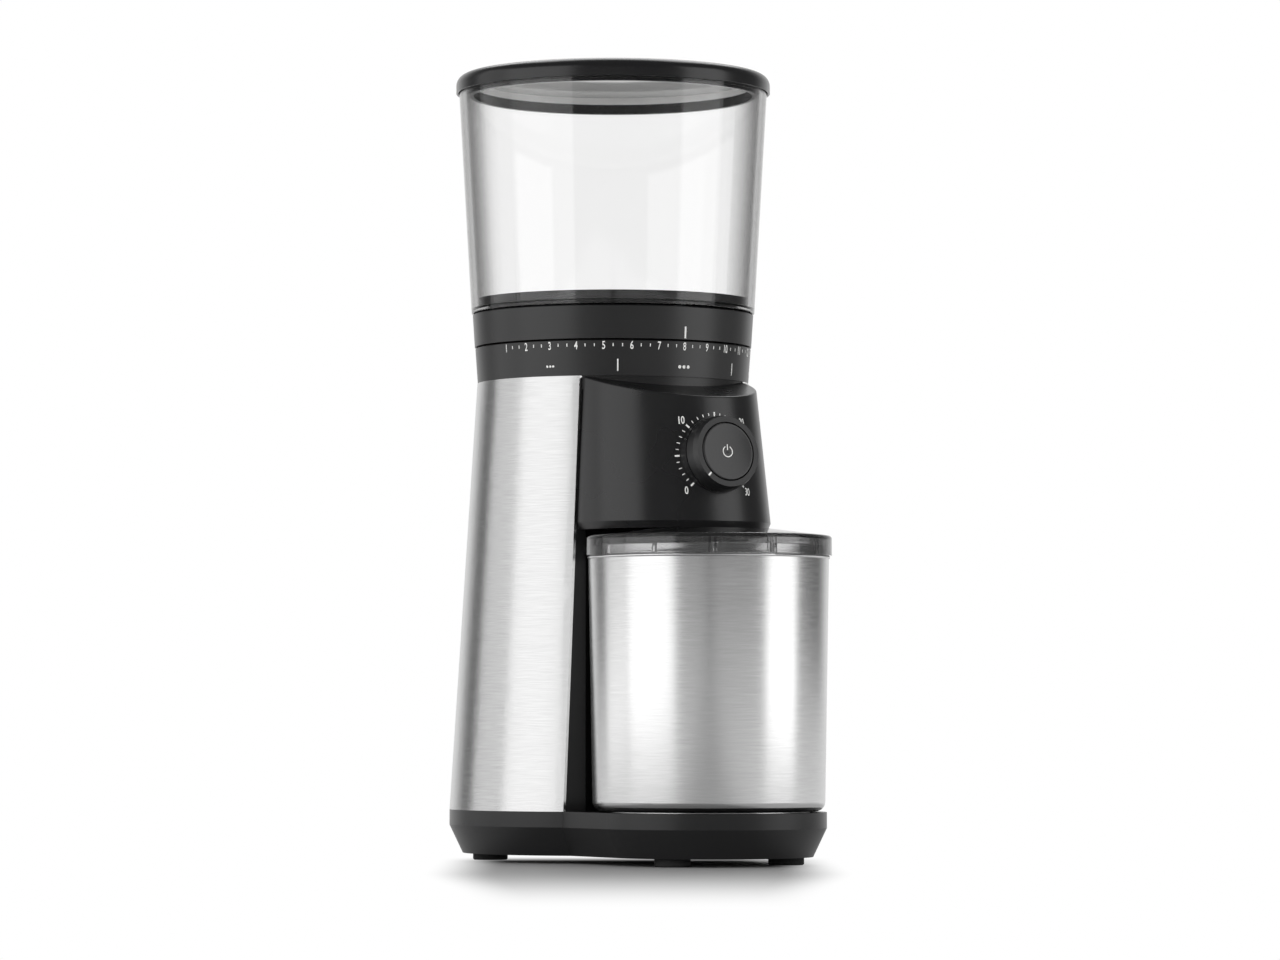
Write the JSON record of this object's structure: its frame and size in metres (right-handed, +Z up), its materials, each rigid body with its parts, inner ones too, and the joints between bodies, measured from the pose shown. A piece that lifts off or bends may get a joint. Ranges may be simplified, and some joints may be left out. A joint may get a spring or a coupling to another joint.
{
  "type": "burr coffee grinder",
  "caption": "Electric burr coffee grinder: brushed drum with a clear bean hopper, turning grind collar, leaning head with timer dial and start button, and a lidded steel cup on the base.",
  "frame": {"origin": "centre of the footprint, on the surface that the feet stand on", "axes": "+Z up, front with the dial and the cup towards -Y, +X to the right seen from the front"},
  "size_m": [0.1662, 0.2484, 0.417],
  "materials": {
    "black_plastic": "satin moulded",
    "brushed_steel": "brushed",
    "smoke_clear": "clear smoked",
    "rubber": "matt",
    "burr_steel": "ground",
    "screw_steel": "plated",
    "nylon": "moulded",
    "aluminium": "die cast",
    "motor_metal": "zinc plated",
    "magnet": "sintered",
    "brass": "cut",
    "board": "lacquered",
    "switch_plastic": "moulded"
  },
  "bodies": {
    "housing": {"base_tray": "black_plastic", "bottom_plate": "black_plastic", "base_screws": "screw_steel", "feet": "rubber", "cord_gland": "rubber", "steel_wrap": "brushed_steel", "core_housing": "black_plastic", "head_housing": "black_plastic", "head_floor": "black_plastic", "top_deck": "black_plastic", "scale_ring": "black_plastic", "grind_chamber": "black_plastic", "chamber_screws": "screw_steel", "chute": "black_plastic", "gearbox_base": "aluminium", "gearbox_cover": "aluminium", "gearbox_screws": "screw_steel", "support_posts": "screw_steel", "lower_bearing": "burr_steel", "upper_bearing": "burr_steel", "idler_pin": "burr_steel", "motor_can": "motor_metal", "motor_screws": "screw_steel", "motor_end_bell": "motor_metal", "motor_magnets": "magnet", "control_board": "board", "board_screws": "screw_steel", "timer_encoder": "switch_plastic", "start_switch": "switch_plastic", "power_board": "board", "hopper_switch": "switch_plastic"},
    "collar": {"adjust_collar": "black_plastic"},
    "carrier": {"burr_carrier": "nylon", "ring_burr": "burr_steel"},
    "hopper_set": {"hopper": "smoke_clear", "hopper_funnel": "black_plastic"},
    "lid": {"hopper_lid": "black_plastic", "lid_seal": "rubber"},
    "burr_drive": {"burr_shaft": "burr_steel", "burr_gear": "nylon", "cone_burr": "burr_steel", "burr_nut": "burr_steel", "impeller": "nylon"},
    "idler": {"idler_gear": "nylon"},
    "rotor": {"motor_shaft": "burr_steel", "motor_armature": "motor_metal", "motor_pinion": "brass"},
    "knob": {"timer_knob": "black_plastic"},
    "button": {"start_button": "black_plastic"},
    "cup": {"grounds_cup": "brushed_steel", "cup_lid": "smoke_clear", "cup_lid_seal": "rubber"}
  },
  "joints": [
    {"name": "collar_turn", "type": "hinge", "parent": "housing", "child": "collar", "pos_m": [0, 0.0349, 0.27], "axis": [0, 0, 1], "range_deg": [-80.5, 80.5]},
    {"name": "carrier_rise", "type": "slide", "parent": "collar", "child": "carrier", "axis": [0, 0, 1], "range_m": [-0.001, 0.001]},
    {"name": "hopper_lift", "type": "slide", "parent": "collar", "child": "hopper_set", "axis": [0, 0, 1], "range_m": [0, 0.08]},
    {"name": "lid_lift", "type": "slide", "parent": "hopper_set", "child": "lid", "axis": [0, 0, 1], "range_m": [0, 0.05]},
    {"name": "motor_spin", "type": "hinge", "parent": "housing", "child": "rotor", "pos_m": [0, 0.0749, 0.11], "axis": [0, 0, 1], "continuous": true},
    {"name": "idler_spin", "type": "hinge", "parent": "housing", "child": "idler", "pos_m": [0.01842, 0.05599, 0.16], "axis": [0, 0, 1], "continuous": true},
    {"name": "burr_spin", "type": "hinge", "parent": "housing", "child": "burr_drive", "pos_m": [0, 0.0349, 0.2], "axis": [0, 0, 1], "continuous": true},
    {"name": "timer_turn", "type": "hinge", "parent": "housing", "child": "knob", "pos_m": [0, -0.06918, 0.209], "axis": [0, 0.9888, -0.1494], "range_deg": [0, 270]},
    {"name": "start_press", "type": "slide", "parent": "housing", "child": "button", "axis": [0, 0.9888, -0.1494], "range_m": [0, 0.002], "stiffness_N_per_m": 800, "springref_m": -0.003},
    {"name": "cup_slide", "type": "slide", "parent": "housing", "child": "cup", "axis": [0, -1, 0], "range_m": [0, 0.17]}
  ],
  "couplings": [
    {"joint": "carrier_rise", "follows": "collar_turn", "m_per_rad": 0.0007},
    {"joint": "idler_spin", "follows": "motor_spin", "ratio": -0.22222},
    {"joint": "burr_spin", "follows": "motor_spin", "ratio": 0.055556}
  ]
}
